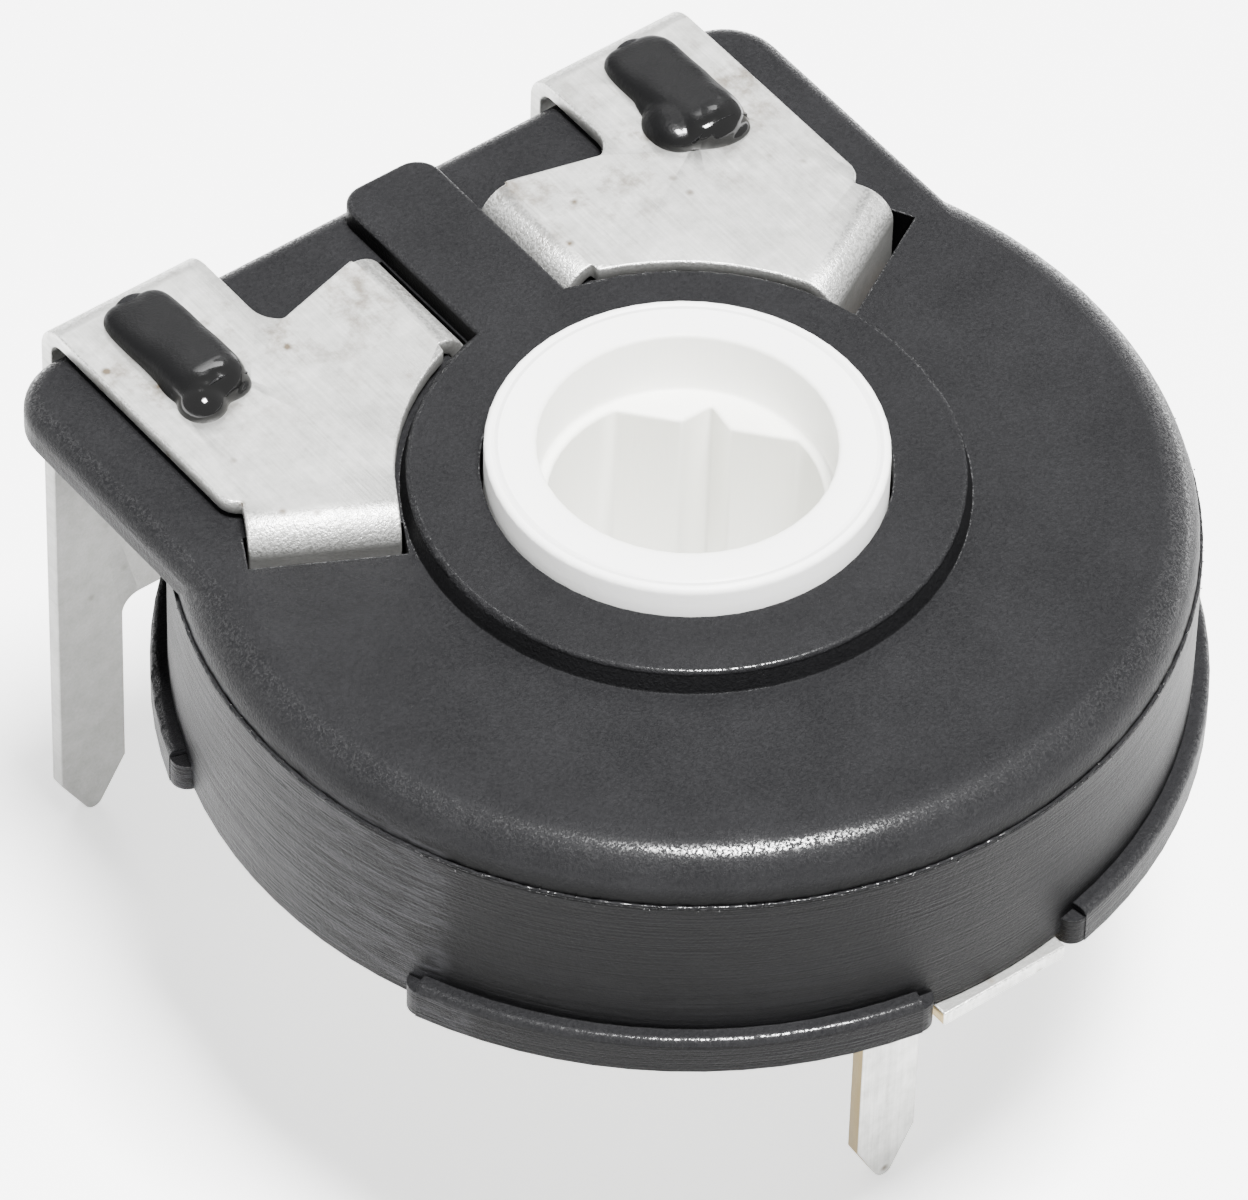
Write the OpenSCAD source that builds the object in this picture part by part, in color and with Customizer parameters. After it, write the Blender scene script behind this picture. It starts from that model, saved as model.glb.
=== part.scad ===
// Trimmer potentiometer with a hollow rotor, for flat mounting on a circuit board.
// +Z points up along the rotor's axis, and z = 0 is the upper face of the board.
// The two end terminals stand at +Y, and the wiper's terminal at -Y.

/* [Body] */
// Diameter of the body's wall
wall_d = 14.5; // [14:0.1:15.5]
// Thickness of the body's wall
wall_t = 0.75; // [0.6:0.05:0.9]
// Height of the disc's upper face above the board
disc_z = 5.9; // [5.6:0.1:8]
// Thickness of the disc
disc_t = 1.1; // [1:0.05:1.4]
// Height of the body, from the disc's upper face to the wall's lower edge
body_h = 3.7; // [3.6:0.05:4.4]
// Radius of the disc's rounded rim
rim_r = 0.7; // [0.3:0.05:0.9]
// Height of the band between the rounded rim and the mould's parting line
parting_band = 0.07; // [0.05:0.01:0.5]
// How far the band above the parting line is set back
parting_step = 0.05; // [0.02:0.01:0.1]

/* [Feet] */
// How far the four raised feet stand out from the wall
foot_reach = 0.25; // [0.15:0.01:0.4]
// Height of a foot on the wall
foot_h = 0.6; // [0.4:0.05:0.9]
// How far a foot reaches below the wall
foot_drop = 0.12; // [0.05:0.01:0.2]
// Angle from the front or rear middle to the near end of a foot
foot_near = 11; // [11:0.5:15]
// Angle from the front middle to the far end of a front foot
foot_far_front = 66.5; // [50:0.5:80]
// Angle from the rear middle to the far end of a rear foot
foot_far_rear = 70; // [50:0.5:80]
// Angle that a swaged lip spans under the contact plate's rim
lip_span = 18; // [10:1:30]
// How far a swaged lip laps over the contact plate's rim
lip_lap = 0.35; // [0.2:0.05:0.6]
// Thickness of a swaged lip
lip_t = 0.18; // [0.1:0.01:0.25]

/* [Terminal flange] */
// How far the flange stands out sideways from the end terminals
flange_side = 1; // [0.8:0.05:1.2]
// How far the flange's rear edge stands out from the wall
flange_over = 0.08; // [0.05:0.01:0.3]
// Thickness of the flange
flange_t = 0.65; // [0.5:0.05:1]
// Radius of the flange's rear corners
flange_corner = 0.95; // [0.5:0.05:1.5]
// Radius of the flange's rounded upper edge
flange_edge = 0.35; // [0.1:0.05:0.4]
// Width of the rib between the end terminals
rib_w = 1.56; // [1.2:0.02:1.8]
// Distance of the rib's rear face from the flange's rear edge
rib_setback = 0.13; // [0.1:0.01:0.5]

/* [Collar] */
// Thickness of the collar's wall at its foot
collar_wall = 1.11; // [0.9:0.01:1.3]
// How far the collar's top is drawn in from its foot
collar_taper = 0.07; // [0.02:0.01:0.15]
// Height of the collar and the rib above the disc
collar_h = 0.36; // [0.2:0.01:0.6]

/* [Rotor] */
// Diameter of the drive hole's round part
drive_d = 3.88; // [3.6:0.02:4.2]
// Distance of the drive hole's flat from the axis
drive_flat = 1.43; // [1.3:0.01:1.6]
// Width of the pointer notch in the flat
pointer_w = 0.7; // [0.5:0.05:0.9]
// Distance of the pointer notch's tip from the axis
pointer_tip = 1.82; // [1.7:0.01:1.9]
// Width of the round seat outside the drive hole
seat_step = 0.16; // [0.1:0.01:0.3]
// Depth of the round seat
seat_depth = 1.07; // [0.8:0.01:1.4]
// Thickness of the rotor's wall outside the round seat
rotor_wall = 0.73; // [0.5:0.01:0.9]
// Radial running clearance of the rotor in the collar
rotor_clearance = 0.05; // [0.02:0.01:0.09]
// Height of the rotor's top above the disc
rotor_rise = 0.83; // [0.6:0.01:1.2]
// Play of the rotor along its axis
rotor_play = 0.1; // [0.05:0.01:0.12]
// Wall of the rotor's sleeve outside the drive hole
sleeve_wall = 0.55; // [0.4:0.05:0.6]
// Gap between the rotor's inner flange and the resistive element
flange_gap = 0.25; // [0.15:0.01:0.35]
// How far the rotor's stop lug stands out from its inner flange
lug_reach = 0.8; // [0.6:0.05:0.9]
// Height of the stop lug
lug_h = 0.5; // [0.3:0.05:0.6]
// Mechanical travel of the rotor in degrees
travel = 265; // [240:1:290]
// Angle between the stop lug and the fixed stop at rest
rest_play = 2; // [1.5:0.5:5]

/* [Terminals] */
// Thickness of the terminals' sheet metal
sheet_t = 0.25; // [0.2:0.01:0.3]
// Inner radius of the terminals' bends
bend_r = 0.25; // [0.15:0.01:0.3]
// Height of the end terminals' underside above the disc
plate_gap = 0.1; // [0.05:0.01:0.15]
// Distance between the end terminals' leg centres
pin_pitch = 10; // [9.5:0.05:10.5]
// Gap between the flange's rear edge and the end terminals' legs
leg_gap = 0.095; // [0.05:0.005:0.3]
// Distance of the wiper terminal's leg inwards from the wall's outer face
front_inset = 2.3; // [2:0.05:2.6]
// Width of an end terminal's leg
leg_w = 1.15; // [0.8:0.05:1.3]
// How far the contact plate's underside lies below the feet
plate_drop = 0.1; // [0.05:0.01:0.15]
// Width of the contact plate's front tab
front_tab_w = 2.14; // [1.8:0.02:2.14]
// How far the contact plate's front tab stands out from the wall
front_tab_over = 0.13; // [0.05:0.01:0.2]
// Width of the wiper terminal's leg
front_leg_w = 1.03; // [0.8:0.01:1.3]
// Length of the legs below the board's upper face
leg_drop = 4.1; // [3:0.1:5]
// Length of a leg's pointed end
point_l = 0.8; // [0.5:0.05:1.2]
// Radius of a leg's tip
point_r = 0.16; // [0.1:0.01:0.25]
// Width of an end terminal at its rear bend
plate_w = 2.52; // [2.3:0.02:2.8]
// Radius in the corner between an end terminal's leg and its shoulder
shoulder_r = 0.3; // [0.1:0.05:0.4]
// Gap between the rib and the inner tabs
tab_gap = 0.08; // [0.06:0.01:0.2]
// Distance of the wing's rear edge from the terminal's rear face, at the middle plane
wing_setback = 1.275; // [1.1:0.005:1.5]
// Slope of the wing's rear edge
wing_slope = 0.26; // [0.2:0.01:0.3]
// Radius in the corner between the wing and the rear part
wing_corner = 0.5; // [0.3:0.05:0.6]
// Gap between the collar and an end terminal's front edge
front_gap = 0.07; // [0.06:0.01:0.2]
// Direction of the outer fold, in degrees from +X
fold_angle = 28.5; // [26:0.5:31]
// Distance of the outer fold's far end inwards from the inside of the wall
fold_inset = 0.3; // [0.3:0.01:0.5]
// Radius of the corner at the outer fold's far end
fold_corner = 0.35; // [0.2:0.05:0.5]
// Width of the slot that the stake fills
slot_w = 1.1; // [0.9:0.02:1.2]
// Length of the slot
slot_l = 2.3; // [2:0.05:2.5]
// Distance of the slot outwards from the middle of the terminal's width
slot_shift = 0.105; // [0:0.005:0.2]

/* [Stakes] */
// Height of a stake's front end above its terminal
stake_rise = 0.36; // [0.2:0.02:0.5]
// Fall of a stake's crown from its front to its rear
stake_fall = 0.22; // [0:0.02:0.22]
// Radius of the melted lip at a stake's foot
melt_r = 0.3; // [0.2:0.02:0.36]

/* [Resistive element] */
// Thickness of the element's board
element_t = 0.6; // [0.5:0.05:0.7]
// Width of the board's bridge inside an end terminal's outer tab
bridge_w = 0.31; // [0.25:0.01:0.4]
// Gap between the element and the inside of the wall
element_gap = 0.15; // [0.1:0.01:0.2]
// Width of the resistive track
track_w = 1.2; // [0.9:0.05:1.4]
// Thickness of the resistive track
track_t = 0.03; // [0.02:0.01:0.05]

/* [Wiper] */
// Thickness of the wiper's spring sheet
spring_t = 0.15; // [0.1:0.01:0.2]
// Height that the wiper's arm rises from its seat to the track
arm_rise = 0.84; // [0.75:0.01:0.9]
// Width of the wiper's arm
arm_w = 1; // [0.7:0.05:1.2]
// Length of a wiper's finger
finger_l = 1.6; // [1.2:0.05:1.8]
// Width of a wiper's finger
finger_w = 0.6; // [0.4:0.05:0.7]
// Gap left at a sliding contact
contact_gap = 0.02; // [0.01:0.01:0.03]

/* [Hidden] */
$fn = 96;

// Overlap that joins the pieces of one solid, and reach of a cut past its faces
join = 0.05;
// Clearance between parts that are pressed or dropped together
seat_gap = 0.05;
// Set-back that keeps two surfaces of one solid from lying in one plane
hair = 0.01;
// Clearance in front of the outer tab, where its slot is wider
slot_room = 0.3;
// Smallest gap between the moving set and the fixed stop or the tabs
free_gap = 0.2;
// Play at each end of the travel before the stop is touched
stop_play = 0.5;
// Angle that the housing's fixed stop spans
stop_span = 20;
// Gap between the rotor's lower end and the contact plate
end_gap = 0.15;
// Depth that the contact plate's rim seats in the wall
rim_seat = 0.25;
// Radius that the collar's and the rotor's upper edges are rounded to
small_edge = 0.08;
// Radius of the rib's rear corners
rib_corner = 0.4;
// Radius of the slot's front corners
slot_corner = 0.15;
// Radius of a stake's crown, as a share of the slot's width
crown_share = 0.62;
// Places of the melted lips: sideways from the stake's middle and back from its front end
melt_left = [-0.3, 0.02];
melt_right = [-0.55, 0.5];
// Radius of the wiper's contact noses
nose_r = 0.16;
// Side play of the wiper terminal's leg in its opening in the contact plate
leg_room = 0.12;
// Width of the contact plate's rim outside that opening
rim_web = 0.45;
// Width of the wiper's ring left outside a peg
peg_edge = 0.18;
// Radial clearance of a peg in the wiper's ring
peg_gap = 0.01;
// Directions of the pegs from the pointer
peg_angles = [60, 180, 300];

wall_r = wall_d / 2;
upper_r = wall_r - parting_step;
cavity_r = wall_r - wall_t;
foot_r = wall_r + foot_reach;
seat_r = drive_d / 2 + seat_step;
rotor_r = seat_r + rotor_wall;
bore_r = rotor_r + rotor_clearance;
collar_foot_r = bore_r + collar_wall;
collar_top_r = collar_foot_r - collar_taper;
front_arc_r = collar_foot_r + front_gap;
element_in_r = front_arc_r - bridge_w;
element_out_r = cavity_r - element_gap;
track_mid_r = (element_in_r + element_out_r) / 2;
rotor_flange_r = element_in_r - flange_gap;
lug_r = rotor_flange_r + lug_reach;
sleeve_r = drive_d / 2 + sleeve_wall;
ring_in_r = sleeve_r + seat_gap;
ring_mid_r = (ring_in_r + rotor_flange_r) / 2;
peg_d = rotor_flange_r - ring_in_r - 2 * peg_edge;
fold_end_r = cavity_r - fold_inset;
contact_r = cavity_r + rim_seat;
plate_hole_r = drive_d / 2 + join;

collar_z = disc_z + collar_h;
wall_z = disc_z - body_h;
foot_z = wall_z - foot_drop;
parting_z = disc_z - rim_r - parting_band;
ceiling_z = disc_z - disc_t;
element_z = ceiling_z - element_t;
track_z = element_z - track_t;
wiper_z = track_z - arm_rise;
contact_low_z = foot_z - plate_drop;
contact_z = contact_low_z + sheet_t;
tab_end_z = element_z - free_gap;
rotor_top_z = disc_z + rotor_rise;
rotor_end_z = contact_z + end_gap;
seat_z = rotor_top_z - seat_depth;
plate_z = disc_z + plate_gap;
plate_top_z = plate_z + sheet_t;

lug_span = 360 - travel - stop_span - 2 * stop_play;
pointer_angle = 90 - stop_span / 2 - rest_play - lug_span / 2;

bend_out = bend_r + sheet_t;
outer_x = pin_pitch / 2 + leg_w / 2;
inner_x = outer_x - plate_w;
slot_x = (inner_x + outer_x) / 2 + slot_shift;
tab_x = rib_w / 2 + tab_gap;
flange_w = 2 * (outer_x + flange_side);
flange_y = wall_r + flange_over;
rib_y = flange_y - rib_setback;
rear_y = flange_y + leg_gap + sheet_t;
front_y = wall_r - front_inset;
wing_y = rear_y - wing_setback;
slot_rear_y = rear_y - bend_out + join;
slot_front_y = slot_rear_y - slot_l;
tab_front_y = sqrt(front_arc_r * front_arc_r - tab_x * tab_x);
tab_rear_y = wing_y - wing_slope * (tab_x + bend_out) - join;

// Ring sector between two radii and two angles, z from low to high
module ring_sector(r_in, r_out, low, high, from, to)
    rotate([0, 0, from])
        rotate_extrude(angle = to - from)
            translate([r_in, low]) square([r_out - r_in, high - low]);

// Slab with a rounded upper edge and rounded rear corners, from y = 0 to depth
module rounded_slab(width, depth, low, high, corner, edge) {
    slab_outline(width, depth, low, high - edge, corner);
    slab_outline(width - 2 * edge, depth - edge, low, high, corner - edge);
    translate([-(width / 2 - corner), depth - edge, high - edge])
        rotate([0, 90, 0]) cylinder(r = edge, h = width - 2 * corner);
    for (side = [-1, 1]) {
        translate([side * (width / 2 - edge), 0, high - edge])
            rotate([-90, 0, 0]) cylinder(r = edge, h = depth - corner);
        translate([side * (width / 2 - corner), depth - corner, high - edge])
            rotate([0, 0, side > 0 ? 0 : 90]) rotate_extrude(angle = 90)
                translate([corner - edge, 0]) intersection() {
                    circle(edge);
                    translate([edge - corner, -edge]) square([corner, 2 * edge]);
                }
    }
}

// Prism with two rounded rear corners
module slab_outline(width, depth, low, high, corner)
    translate([0, 0, low]) linear_extrude(high - low) {
        translate([-width / 2, 0]) square([width, depth - corner]);
        translate([corner - width / 2, 0]) square([width - 2 * corner, depth]);
        for (side = [-1, 1])
            translate([side * (width / 2 - corner), depth - corner]) circle(corner);
    }

// Quarter of a tube along +X, that turns a sheet from flat to hanging towards +Y
module sheet_bend(length)
    rotate([90, 0, 90]) linear_extrude(length) intersection() {
        difference() {
            circle(bend_out);
            circle(bend_r);
        }
        square(bend_out);
    }

// Half section of the disc and wall, without the cavity
module body_section() {
    translate([0, wall_z]) square([wall_r, parting_z - wall_z]);
    translate([0, parting_z - join]) square([upper_r, disc_z - rim_r - parting_z + join]);
    translate([0, parting_z]) square([upper_r - rim_r, disc_z - parting_z]);
    translate([upper_r - rim_r, disc_z - rim_r]) circle(rim_r);
}

// Half section of the collar, slightly tapered, with a rounded upper edge
module collar_section() {
    low = disc_z - join;
    polygon([[0, low], [collar_foot_r, low], [collar_foot_r, disc_z], [collar_top_r, collar_z - small_edge],
        [collar_top_r - small_edge, collar_z], [0, collar_z]]);
    translate([collar_top_r - small_edge, collar_z - small_edge]) circle(small_edge);
}

// One foot on the wall's lower edge, with rounded ends and its swaged lip
module foot(from, to) {
    edge = min(foot_reach, foot_h) / 2;
    middle = (from + to) / 2;
    rotate([0, 0, from]) rotate_extrude(angle = to - from) {
        translate([cavity_r + join, foot_z]) square([foot_r - edge - cavity_r - join, foot_h]);
        translate([wall_r - join, foot_z]) square([foot_reach + join, foot_h - edge]);
        translate([foot_r - edge, foot_z + foot_h - edge]) circle(edge);
    }
    for (end = [from, to])
        rotate([0, 0, end]) translate([wall_r - hair, 0, foot_z + hair])
            cylinder(r = foot_reach, h = foot_h - edge - hair);
    lip_from = middle - lip_span / 2;
    lip_to = middle + lip_span / 2;
    ring_sector(contact_r - lip_lap, wall_r, contact_low_z - lip_t, foot_z + join, lip_from, lip_to);
}

module feet()
    for (side = [-1, 1]) {
        front = -90 + side * foot_near;
        rear = 90 + side * foot_near;
        foot(min(front, -90 + side * foot_far_front), max(front, -90 + side * foot_far_front));
        foot(min(rear, 90 + side * foot_far_rear), max(rear, 90 + side * foot_far_rear));
    }

// Outline of the slot in an end terminal, less a gap all round
module stake_outline(gap) {
    half = slot_w / 2 - gap;
    low = slot_front_y + gap;
    high = slot_rear_y - gap;
    side_x = half - slot_corner;
    translate([-half, low + slot_corner]) square([2 * half, high - low - half - slot_corner]);
    translate([-side_x, low]) square([2 * side_x, slot_corner + join]);
    for (side = [-1, 1])
        translate([side * side_x, low + slot_corner]) circle(slot_corner);
    translate([0, high - half]) circle(half);
}

// Moulded rib that comes up through a terminal's slot, with its crown and melted lip
module stake(melt) {
    crown_z = plate_top_z + stake_rise;
    crown_r = slot_w * crown_share;
    intersection() {
        translate([0, 0, disc_z - join]) linear_extrude(crown_z - disc_z + 2 * join) stake_outline(hair);
        union() {
            translate([0, slot_front_y - join, crown_z - crown_r])
                rotate([-90 - atan(stake_fall / slot_l), 0, 0]) cylinder(r = crown_r, h = slot_l + slot_w);
            translate([-slot_w / 2, slot_front_y, disc_z - join])
                cube([slot_w, slot_l, crown_z - crown_r - stake_fall - disc_z + join]);
        }
    }
    translate([melt[0], slot_front_y + melt[1], plate_top_z]) intersection() {
        sphere(melt_r);
        translate([-melt_r, -melt_r, 0]) cube([2 * melt_r, 2 * melt_r, melt_r]);
    }
}

// Openings in the disc for the tabs of the +X terminal
module tab_slots() {
    height = disc_z - ceiling_z + 2 * join;
    translate([tab_x - seat_gap, tab_front_y - seat_gap, ceiling_z - join])
        cube([sheet_t + 2 * seat_gap, tab_rear_y - tab_front_y + 2 * seat_gap, height]);
    rotate([0, 0, fold_angle])
        translate([front_arc_r - seat_gap, -bend_out - slot_room, ceiling_z - join])
            cube([fold_end_r - front_arc_r + 2 * seat_gap, sheet_t + slot_room + seat_gap, height]);
}

// Moulded body: disc, wall, flange, collar, rib, stakes and feet in one piece
module housing()
    color("#2b2b2e") {
        difference() {
            union() {
                rotate_extrude() body_section();
                rounded_slab(flange_w, flange_y, disc_z - flange_t, disc_z, flange_corner, flange_edge);
                rounded_slab(rib_w, rib_y, disc_z - flange_t, collar_z, rib_corner, small_edge);
                rotate_extrude() collar_section();
                feet();
                translate([-slot_x, 0, 0]) stake(melt_left);
                translate([slot_x, 0, 0]) stake(melt_right);
            }
            translate([0, 0, contact_z]) cylinder(r = cavity_r, h = ceiling_z - contact_z);
            translate([0, 0, contact_low_z]) cylinder(r = contact_r + seat_gap, h = sheet_t);
            translate([-front_tab_w / 2 - seat_gap, -foot_r - join, foot_z - join])
                cube([front_tab_w + 2 * seat_gap, foot_r - cavity_r, contact_z + seat_gap - foot_z + join]);
            translate([0, 0, ceiling_z - join])
                cylinder(r = bore_r, h = disc_t + collar_h + 2 * join);
            tab_slots();
            mirror([1, 0, 0]) tab_slots();
        }
        ring_sector(rotor_flange_r + free_gap, lug_r + free_gap, wiper_z, ceiling_z + join,
            90 - stop_span / 2, 90 + stop_span / 2);
    }

// Drive hole: a circle with one flat, and a pointer notch in the flat
module drive_outline()
    difference() {
        circle(drive_d / 2);
        difference() {
            translate([drive_flat, -drive_d]) square([drive_d, 2 * drive_d]);
            polygon([[drive_flat - join, -pointer_w / 2], [drive_flat, -pointer_w / 2],
                [pointer_tip, 0], [drive_flat, pointer_w / 2], [drive_flat - join, pointer_w / 2]]);
        }
    }

// Half section of the rotor, solid through its middle
module rotor_section() {
    flange_z = ceiling_z - rotor_play;
    translate([0, rotor_end_z]) square([sleeve_r, wiper_z - rotor_end_z + join]);
    translate([0, wiper_z]) square([rotor_flange_r, flange_z - wiper_z]);
    translate([0, flange_z - join]) square([rotor_r, rotor_top_z - small_edge - flange_z + join]);
    translate([0, rotor_top_z - 2 * small_edge]) square([rotor_r - small_edge, 2 * small_edge]);
    translate([rotor_r - small_edge, rotor_top_z - small_edge]) circle(small_edge);
}

// Hollow white rotor with its inner flange, stop lug and the wiper's pegs
module rotor()
    color("#f4f3ee") rotate([0, 0, pointer_angle]) {
        difference() {
            rotate_extrude() rotor_section();
            translate([0, 0, seat_z]) cylinder(r = seat_r, h = seat_depth + join);
            translate([0, 0, rotor_end_z - join])
                linear_extrude(seat_z - rotor_end_z + 2 * join) drive_outline();
        }
        ring_sector(rotor_flange_r - 2 * join, lug_r, wiper_z + join, wiper_z + lug_h, -lug_span / 2, lug_span / 2);
        for (angle = peg_angles)
            rotate([0, 0, angle]) translate([ring_mid_r, 0, wiper_z - 2 * spring_t])
                cylinder(d = peg_d, h = 2 * spring_t + join);
    }

// Side view of the wiper's arm, from the ring out and up to the track
module arm_profile() {
    knee_r = lug_r + free_gap;
    nose_z = track_z - contact_gap - nose_r;
    low = wiper_z - spring_t;
    translate([ring_mid_r, low]) square([knee_r - ring_mid_r, spring_t]);
    polygon([[knee_r - spring_t, low], [knee_r, low], [track_mid_r + nose_r, nose_z],
        [track_mid_r - nose_r, nose_z], [knee_r - spring_t, low + spring_t]]);
    translate([track_mid_r, nose_z]) circle(nose_r);
}

// Side view of a finger, from the ring down to the contact plate
module finger_profile() {
    nose_z = contact_z + contact_gap + nose_r;
    polygon([[-spring_t, wiper_z - spring_t], [-spring_t, wiper_z], [spring_t, wiper_z],
        [finger_l + nose_r, nose_z], [finger_l - nose_r, nose_z], [spring_t / 2, wiper_z - spring_t]]);
    translate([finger_l, nose_z]) circle(nose_r);
}

// Spring contact that turns with the rotor
module wiper()
    color("#c9a24a") rotate([0, 0, pointer_angle]) {
        difference() {
            ring_sector(ring_in_r, rotor_flange_r, wiper_z - spring_t, wiper_z, 0, 360);
            for (angle = peg_angles)
                rotate([0, 0, angle]) translate([ring_mid_r, 0, wiper_z - spring_t - join])
                    cylinder(d = peg_d + 2 * peg_gap, h = spring_t + 2 * join);
        }
        translate([0, arm_w / 2, 0]) rotate([90, 0, 0]) linear_extrude(arm_w) arm_profile();
        for (side = [0, 180])
            rotate([0, 0, 90 + side]) translate([ring_mid_r - finger_w / 2, 0, 0])
                rotate([90, 0, 90]) linear_extrude(finger_w) finger_profile();
    }

// Horseshoe board with the resistive track on its underside
module resistive_element()
    color("#7a4a22") difference() {
        union() {
            ring_sector(element_in_r, element_out_r, element_z, ceiling_z, 0, 360);
            ring_sector(track_mid_r - track_w / 2, track_mid_r + track_w / 2, track_z, element_z + join, 0, 360);
        }
        end_x = tab_x + sheet_t + seat_gap;
        translate([-end_x, 0, track_z - join]) cube([2 * end_x, wall_d, element_t + track_t + 2 * join]);
        for (side = [0, 1])
            mirror([side, 0, 0]) rotate([0, 0, fold_angle])
                translate([front_arc_r - seat_gap, -bend_out - seat_gap, track_z - join])
                    cube([wall_d, sheet_t + 2 * seat_gap, element_t + track_t + 2 * join]);
    }

// Pointed end of a leg in its own plane, from its tip at z = 0 up
module leg_point(width) {
    reach = norm([width / 2, point_l - point_r]);
    turn = atan2(point_l - point_r, width / 2) - acos(point_r / reach);
    touch = [point_r * cos(turn), point_r + point_r * sin(turn)];
    polygon([[-width / 2, point_l], [-touch[0], touch[1]], touch, [width / 2, point_l]]);
    translate([0, point_r]) circle(point_r);
}

// Round plate under the rotor, with a tab in the front notch and the wiper's terminal bent down
module contact_plate()
    color("#c8c6c0") {
        bend_y = front_y + sheet_t / 2 - bend_out;
        opening_w = front_leg_w + 2 * leg_room;
        opening_l = contact_r - rim_web - bend_y;
        leg_top = contact_z - bend_out;
        difference() {
            union() {
                translate([0, 0, contact_low_z]) cylinder(r = contact_r, h = sheet_t);
                translate([-front_tab_w / 2, -wall_r - front_tab_over, contact_low_z])
                    cube([front_tab_w, wall_t + front_tab_over, sheet_t]);
            }
            translate([0, 0, contact_low_z - join]) cylinder(r = plate_hole_r, h = sheet_t + 2 * join);
            translate([-opening_w / 2, -bend_y - opening_l, contact_low_z - join])
                cube([opening_w, opening_l, sheet_t + 2 * join]);
        }
        translate([front_leg_w / 2, -bend_y, leg_top]) rotate([0, 0, 180]) sheet_bend(front_leg_w);
        translate([0, -front_y + sheet_t / 2, 0]) rotate([90, 0, 0]) linear_extrude(sheet_t) {
            translate([-front_leg_w / 2, point_l - leg_drop]) square([front_leg_w, leg_top + leg_drop - point_l]);
            translate([0, -leg_drop]) leg_point(front_leg_w);
        }
    }

// Flat part of the +X terminal, seen from above
module plate_outline() {
    left = tab_x + bend_out;
    rear = rear_y - bend_out;
    wing_end_y = wing_y - wing_slope * inner_x;
    fold_end = fold_end_r * [cos(fold_angle), sin(fold_angle)];
    corner_y = fold_end[1] + fold_corner + 2 * join;
    difference() {
        union() {
            polygon([[left, 0], [left, wing_y - wing_slope * left], [inner_x, wing_end_y],
                [inner_x, rear], [outer_x, rear], [outer_x, corner_y],
                [outer_x - fold_corner, corner_y], fold_end, [0, 0]]);
            translate([outer_x - fold_corner, corner_y]) circle(fold_corner);
            difference() {
                translate([inner_x - wing_corner, wing_end_y - join])
                    square([wing_corner + join, wing_corner + join]);
                translate([inner_x - wing_corner, wing_end_y + wing_corner]) circle(wing_corner);
            }
        }
        circle(front_arc_r);
        translate([slot_x, 0]) stake_outline(0);
    }
}

// Rear face of the +X terminal, seen from behind: plate, shoulder and leg
module rear_outline() {
    leg_in = outer_x - leg_w;
    translate([inner_x, 0]) square([plate_w, plate_top_z - bend_out]);
    translate([leg_in, point_l - leg_drop]) square([leg_w, leg_drop - point_l + join]);
    translate([outer_x - leg_w / 2, -leg_drop]) leg_point(leg_w);
    difference() {
        translate([leg_in - shoulder_r, -shoulder_r]) square([shoulder_r + join, shoulder_r + join]);
        translate([leg_in - shoulder_r, -shoulder_r]) circle(shoulder_r);
    }
}

// End terminal on the +X side
module end_terminal() {
    translate([0, 0, plate_z]) linear_extrude(sheet_t) plate_outline();
    translate([inner_x, rear_y - bend_out, plate_top_z - bend_out]) sheet_bend(plate_w);
    translate([0, rear_y, 0]) rotate([90, 0, 0]) linear_extrude(sheet_t) rear_outline();
    // Inner tab, folded down beside the rib
    translate([tab_x + bend_out, tab_front_y, plate_top_z - bend_out])
        rotate([0, 0, 90]) sheet_bend(tab_rear_y - tab_front_y);
    translate([tab_x, tab_front_y, tab_end_z])
        cube([sheet_t, tab_rear_y - tab_front_y, plate_top_z - bend_out - tab_end_z]);
    // Outer tab, folded down along a radial line
    rotate([0, 0, fold_angle]) {
        translate([fold_end_r, 0, plate_top_z - bend_out])
            rotate([0, 0, 180]) sheet_bend(fold_end_r - front_arc_r);
        translate([front_arc_r, -bend_out, tab_end_z])
            cube([fold_end_r - front_arc_r, sheet_t, plate_top_z - bend_out - tab_end_z]);
    }
}

module terminal_left() color("#c8c6c0") mirror([1, 0, 0]) end_terminal();

module terminal_right() color("#c8c6c0") end_terminal();

housing();
rotor();
wiper();
resistive_element();
contact_plate();
terminal_left();
terminal_right();
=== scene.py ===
"""Looks of a trimmer potentiometer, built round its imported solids."""

import logging
import math
from dataclasses import dataclass, field
from enum import Enum
from typing import Any, Optional, Union

import bmesh
import bpy
from mathutils import Matrix, Vector, noise

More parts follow.
